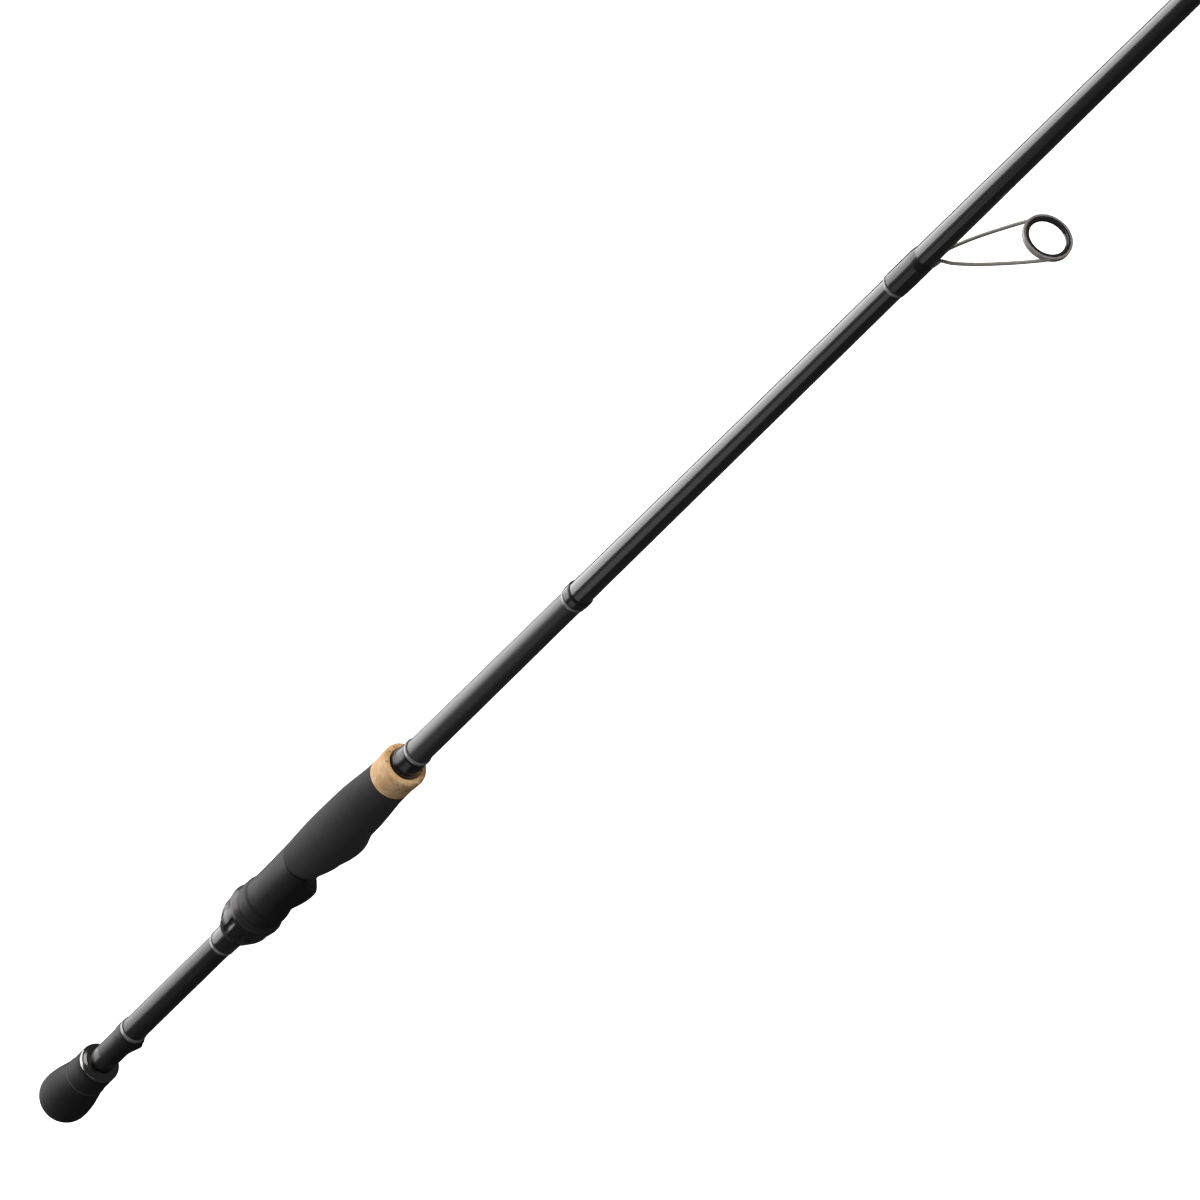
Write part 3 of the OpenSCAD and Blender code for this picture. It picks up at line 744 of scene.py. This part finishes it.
def hood():
    """The sliding hood: a sleeve with a swollen heel pocket, its mouth slanting back underneath."""
    xs = np.concatenate([[194.0, 194.1, 194.35, 194.8], np.linspace(196, 200.2, 7),
                         np.linspace(200.6, 202.6, 9), np.linspace(203.2, 234.9, 64)])
    heel = 203

    def circles(x):
        """The sleeve and, over the heel pocket, the lower circle."""
        out = [(0.0, float(ease(x, [194.0, 194.35, 196.0, 200.6, 202.2, 208, 234.9],
                                [10.75, 10.95, 11.05, 10.85, 10.35, 10.15, 10.45])))]
        if x > heel:
            low = float(ease(x, [heel, 208, 212, 216, 219.5, 222, 226, 230, 234.8],
                             [8.6, 10.2, 11.25, 12.05, 12.35, 12.2, 11.4, 10.3, 9.3]))
            low_r = float(ease(x, [heel, 212, 219, 226, 234.8], [8.5, 9.3, 9.5, 9.3, 8.8]))
            out.append(view_circle(low, low_r))
        return out

    def radius(x, r, turn):
        return r if r < 9.6 else hull_radius(circles(x), turn)

    outer = [(float(x), 10.0) for x in xs]
    back = [(190.9, 7.2), (190.9, 9.4), (193.95, 9.4), (193.97, 9.5)]
    ob = tool(turned(back + outer + [(234.9, 7.2)], 160, radius))
    segs = 96
    turn = np.arange(segs) * 2 * np.pi / segs

    def bore_ring(x):
        """The sliding bore, flat underneath."""
        reach = [min(SLIDE_R, BORE_FLAT / max(0.05, math.cos(a))) if math.cos(a) > 0 else SLIDE_R for a in turn]
        return [(x, -r * math.sin(a), -r * math.cos(a)) for a, r in zip(turn, reach)]

    bore = tool(rings_to_mesh([[(188, 0, 0)], bore_ring(188), bore_ring(236), [(236, 0, 0)]], False))

    def disc(x, r):
        return [(x, -r * math.sin(a), POCKET_Z - r * math.cos(a)) for a in turn]

    discs = [disc(x, r) for x, r in ((209, 5.4), (209.6, 6.2), (214, 7.5), (219.7, 8.45), (240, 8.45))]
    pocket = tool(rings_to_mesh([[(209, 0, POCKET_Z)]] + discs + [[(240, 0, POCKET_Z)]], False))
    slant = math.radians(43)
    under = Matrix.Translation((219.4, 0, -13.2)) @ Matrix.Rotation(-slant, 4, "Y")
    mouth = tool(placed(block(-3, 60, -15, 15, -30, 0), under))
    carve(ob, [bore, pocket, mouth])
    ob.name = "moving_hood_sleeve"
    dress(ob, "hood", "hood", ["moving_hood"], 28)


hood()


# ---------------------------------------------------------------- foregrip, cork ring and winding check

xs = np.linspace(276.7, 310.2, 40)
grip = [(float(x), float(ease(x, [276.7, 283.6, 291, 299, 305, 310.2], [11.2, 11.05, 10.65, 10.05, 9.7, 9.6])))
        for x in xs]
piece("foregrip_foam", *turned([(276.55, 5.75), (276.55, 11.2)] + grip + [(310.35, 9.5), (310.35, 5.75)]),
      "foam", "rod", ["foregrip"])

outline = rounded([(310.4, 5.75), (310.4, 9.55), (310.6, 9.62), (314.5, 9.66), (319, 9.95), (321.6, 10.03),
                   (322.9, 9.75), (323.5, 8.9), (323.5, 7.6), (323.0, 7.1), (319.5, 7.1), (319.5, 5.75)],
                  [0, 0.1, 0.1, 4, 4, 1.2, 0.5, 0.6, 0.3, 0.2, 0, 0])
piece("cork_ring_sanded", *turned(outline, 144), "cork", "rod", ["cork_ring"], 45)

outline = rounded([(319.6, 5.7), (319.6, 6.85), (324.4, 6.85), (325.9, 6.5), (331.8, 6.07), (333.0, 5.85),
                   (333.0, 5.65)], [0, 0, 0.8, 0.8, 0.4, 0.15, 0])
piece("winding_check_cone", *turned(outline, 128), "check", "rod", ["winding_check"], 45)


# ---------------------------------------------------------------- guides

# For each guide: its ring's outside diameter, its height, its wire and the length of its winding.
GUIDES = [(20, 29.5, 1.3, 22.6), (12, 17.5, 1.2, 17), (9.5, 12, 1.1, 14), (7.5, 9, 1, 12), (6.5, 7.5, 0.9, 11),
          (6, 6.6, 0.8, 10), (6, 6.2, 0.8, 9)]
TIP_GAP, GAP_STEP = 105.3, 0.2
LEAN = math.radians(9)
TIP_X = ROD_LEN - 0.9


def ring_band(outer, inner, width, segs=72):
    """A drawn metal band about X, with rounded edges."""
    h, e = width / 2, min(0.22, (outer - inner) * 0.4)
    outline = rounded([(0, outer), (h, outer), (h, inner), (-h, inner), (-h, outer), (0, outer)], e, 4)
    return turned(outline[:-1], segs)


def ceramic_ring(outer, bore, width, segs=72):
    """A ceramic ring with a full round bore."""
    h = width / 2
    pts = [(-h * 0.8, outer), (h * 0.8, outer), (h, outer - 0.12 * h)]
    mid = bore + h
    pts += [(h * math.cos(a), mid - h * math.sin(a)) for a in np.linspace(0.12, math.pi - 0.12, 15)]
    pts += [(-h, outer - 0.12 * h)]
    return turned(pts, segs)


def wires(points, d, segs=16):
    """The two legs of a guide: a wire through points, and its mirror image."""
    return [tube(smooth_line([(x, y * side, z) for x, y, z in points], 7), d / 2, segs) for side in (-1, 1)]


def tongue(x0, x1, half, thick):
    """The ground foot: a tapered tongue curved to the blank."""
    rings = []
    for x in np.linspace(x0, x1, 14):
        t = (x - x0) / (x1 - x0)
        rise = thick * (0.2 + 0.8 * min(1, t * 1.6))
        w = half * (0.6 + 0.4 * min(1, t * 2.2))
        r = blank_r(x)
        ys = np.linspace(-w, w, 9)
        low = [(x, y, -math.sqrt(r * r - y * y) - rise * (1 - (y / w) ** 4 * 0.7)) for y in ys]
        high = [(x, y, -math.sqrt(r * r - y * y) + 0.02) for y in ys[::-1]]
        rings.append(low + high)
    rings = [[tuple(np.mean(rings[0], axis=0))]] + rings + [[tuple(np.mean(rings[-1], axis=0))]]
    return rings_to_mesh(rings, False)


def leaning(x, z):
    """The place of a guide's ring, which leans towards the tip."""
    return Matrix.Translation((x, 0, z)) @ Matrix.Rotation(-LEAN, 4, "Y")


def guide(n, od, tall, d, wrap):
    """Guide n with its ceramic and its winding; returns where the winding starts.

    The gaps between the guides grow from the tip to the butt.
    """
    gx = TIP_X - TIP_GAP * ((1 + GAP_STEP) ** (8 - n) - 1) / GAP_STEP
    gz = -blank_r(gx) - tall
    rx = gx - tall * 1.015
    inner = od / 2 - max(0.5, od * 0.05)
    half = min(2.4, blank_r(rx) * 0.75)
    thick = d * 0.35
    root = np.array([rx, half - d * 0.6, -blank_r(rx) - d * 0.55])
    side = np.array([gx, inner + d * 0.52 + 0.1, gz])

    def between(t, s):
        """A point from root to side: t of the way along and down, s of the way out."""
        return tuple(root + (side - root) * np.array([t, s, t]))

    legs = [(rx - 4.5, half - d * 0.75, -blank_r(rx - 4.5) - thick * 0.45),
            (rx - 1.6, half - d * 0.68, -blank_r(rx) - d * 0.42),
            tuple(root + np.array([0.25, 0.05, -0.12]) * d),
            between(0.12, 0.26), between(0.36, 0.57), between(0.66, 0.82), between(0.9, 0.965),
            tuple(side + np.array([0.25 * d, 0.0, -0.3 * d]))]
    lean = leaning(gx, gz)
    wire = joined(placed(ring_band(od / 2, inner, od * 0.11), lean), *wires(legs, d * 1.12),
                  tongue(rx - wrap + 3, rx - 0.5, half, thick))
    piece(f"guide_{n}_wire_frame", *wire, "wire", "rod", [f"guide_{n}_frame"], 40)
    piece(f"guide_{n}_ceramic", *placed(ceramic_ring(inner, od * 0.37, od * 0.13), lean), "ceramic", "rod",
          [f"guide_{n}_insert"], 40)
    x1 = rx - d * 0.6
    winding(f"guide_{n}_thread", x1 - wrap, x1, thick + 0.18, [f"guide_{n}_winding"],
            foot=(half, rx - wrap + 1), front=5.0)
    return x1 - wrap


winding_starts = [guide(n, *sizes) for n, sizes in enumerate(GUIDES, 1)]
trim_ring("stripper_ring", winding_starts[0] - 1.5, winding_starts[0] - 0.1, 0.35)


# ---------------------------------------------------------------- tip-top

def tip_top():
    """The tip's tube, its wire frame and ring in one, the ceramic and the winding."""
    tube_r, tube_x = 1.4, BLANK_END - 9
    tip_z = -tube_r - 3.6
    outline = rounded([(tube_x, blank_r(tube_x)), (tube_x, blank_r(tube_x) + 0.35), (BLANK_END, tube_r),
                       (BLANK_END + 2.2, tube_r), (BLANK_END + 3, 0.8), (BLANK_END + 3, 0.0)],
                      [0, 0.1, 1, 0.3, 0.3, 0])
    lean = leaning(TIP_X, tip_z)
    legs = wires([(BLANK_END + 0.9, 0.75, -0.5), (TIP_X - 4.4, 1.65, tip_z * 0.36),
                  (TIP_X - 2.6, 2.4, tip_z * 0.68), (TIP_X - 0.2, 2.95, tip_z)], 0.8, 12)
    metalwork = joined(turned(outline, 48, closed=False), placed(ring_band(3, 2.5, 0.8, 48), lean), *legs)
    piece("tip_top_frame", *metalwork, "wire", "rod", ["tip_top"], 40)
    piece("tip_top_ceramic", *placed(ceramic_ring(2.5, 1.9, 0.9, 48), lean), "ceramic", "rod",
          ["tip_top_insert"], 40)
    winding("tip_top_thread", BLANK_END - 15.1, BLANK_END - 9.1, 0.35, ["tip_top_winding"], ends=0.8)


tip_top()


# ---------------------------------------------------------------- CAD nodes that stay

for name in ("rear_arbor", "middle_arbor", "front_arbor"):
    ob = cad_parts[name]
    ob.data.materials.clear()
    ob.data.materials.append(LOOK["bushing"])


# ---------------------------------------------------------------- floor, light and camera

FLOOR_HALF, FLOOR_DROP = 30.0, 0.9
WHITE = (1, 1, 1, 1)
CORNERS = [(-1, -1), (1, -1), (1, 1), (-1, 1)]
floor_z = float(CAD_BOX[0][2]) - FLOOR_DROP
floor = bpy.data.meshes.new("floor")
floor.from_pydata([(x * FLOOR_HALF, y * FLOOR_HALF, floor_z) for x, y in CORNERS], [], [(0, 1, 2, 3)])
floor = bpy.data.objects.new("floor", floor)
bpy.context.scene.collection.objects.link(floor)
paper = Paint("pale_floor", (0.9, 0.9, 0.9), 0.9)
paper.color(paper.mix(paper.ramp(paper.noise(0.6, 2), 0, 1), (0.88, 0.88, 0.88), (0.92, 0.92, 0.92)))
paper.bsdf.inputs["Emission Color"].default_value = WHITE
paper.bsdf.inputs["Emission Strength"].default_value = 0.9
floor.data.materials.append(paper.mat)
floor.visible_glossy = False
floor.visible_diffuse = False

world = bpy.data.worlds.new("studio")
bpy.context.scene.world = world
world.use_nodes = True
tree = world.node_tree
rays = tree.nodes.new("ShaderNodeLightPath")


def even(node, strength):
    """Sets a Background node to an even white."""
    node.inputs["Color"].default_value = WHITE
    node.inputs["Strength"].default_value = strength
    return node.outputs[0]


def choose(ray, chosen, other):
    """One background for a kind of ray, another for the rest."""
    n = tree.nodes.new("ShaderNodeMixShader")
    for socket, value in zip(n.inputs, (rays.outputs[ray], other, chosen)):
        tree.links.new(value, socket)
    return n.outputs[0]


for_glossy = even(tree.nodes["Background"], 0.045)
for_diffuse = even(tree.nodes.new("ShaderNodeBackground"), 0.12)
for_camera = even(tree.nodes.new("ShaderNodeBackground"), 1.0)
surface = choose("Is Camera Ray", for_camera, choose("Is Diffuse Ray", for_diffuse, for_glossy))
tree.links.new(surface, tree.nodes["World Output"].inputs["Surface"])


def softbox(name, direction, distance, across, size_a, size_b, radiance, centre=(0.45, 0, 0)):
    """A rectangular area light, distance away from centre along direction; size_a runs along across."""
    d = Vector(direction).normalized()
    light = bpy.data.lights.new(name, "AREA")
    light.shape, light.size, light.size_y = "RECTANGLE", size_a, size_b
    light.energy = radiance * size_a * size_b * math.pi
    ob = bpy.data.objects.new(name, light)
    bpy.context.scene.collection.objects.link(ob)
    a = Vector(across)
    a = (a - d * a.dot(d)).normalized()
    b = d.cross(a)
    m = Matrix((a, b, d)).transposed().to_4x4()
    m.translation = Vector(centre) + d * distance
    ob.matrix_world = m
    return ob


softbox("key", (-0.629, 0.423, 0.652), 6.0, across=(0, 0.839, -0.544), size_a=7.3, size_b=5.9, radiance=2.8)
softbox("side_glow", (-0.743, -0.611, 0.272), 3.0, across=(1, 0, 0), size_a=0.55, size_b=1.7, radiance=0.6,
        centre=(0.6, 0, 0))
softbox("front_top", (0.62, 0.42, 0.66), 4.0, across=(0, 1, 0), size_a=3.0, size_b=3.0, radiance=1.2,
        centre=(0.3, 0, 0))
# Fills the front faces without a second reflection in the bright rings.
front = softbox("front", (0.85, -0.1, 0.5), 4.0, across=(0, 1, 0), size_a=2.0, size_b=2.0, radiance=6.5,
                centre=(0.3, 0, 0))
front.visible_glossy = False
# Lights the underside and the far side; the photograph's view hardly sees it.
under = softbox("under", (0.05, 0.788, -0.6157), 1.35, across=(1, 0, 0), size_a=3.0, size_b=0.8, radiance=1.6,
                centre=(0.9, 0, 0))
under.visible_glossy = under.visible_camera = False

# The photograph's camera. Along the rod and across it as the picture shows them, and towards the camera:
VIEW_S = Vector((0.6691, 0.5856, -0.4575))
VIEW_P = Vector((0, -0.6157, -0.7880))
VIEW_C = Vector((0.7431, -0.5273, 0.4120))
SLOPE_COS, SLOPE_SIN = 0.7152, 0.6989
ROLL = math.radians(0.112)
EYE = (3.3750, -2.0609, 1.6009)
LENS, SENSOR = 297, 36

turn = Matrix.Rotation(ROLL, 3, VIEW_C)
right = turn @ (SLOPE_COS * VIEW_S + SLOPE_SIN * VIEW_P)
down = turn @ (-SLOPE_SIN * VIEW_S + SLOPE_COS * VIEW_P)
cam = bpy.data.cameras.new("camera")
cam.sensor_width = SENSOR
cam.lens = LENS
cam.clip_start, cam.clip_end = 0.05, 200
eye = bpy.data.objects.new("camera", cam)
bpy.context.scene.collection.objects.link(eye)
m = Matrix((right, -down, VIEW_C)).transposed().to_4x4()
m.translation = Vector(EYE)
eye.matrix_world = m
bpy.context.scene.camera = eye
bpy.context.scene.view_settings.view_transform = "Standard"

bpy.context.view_layer.update()
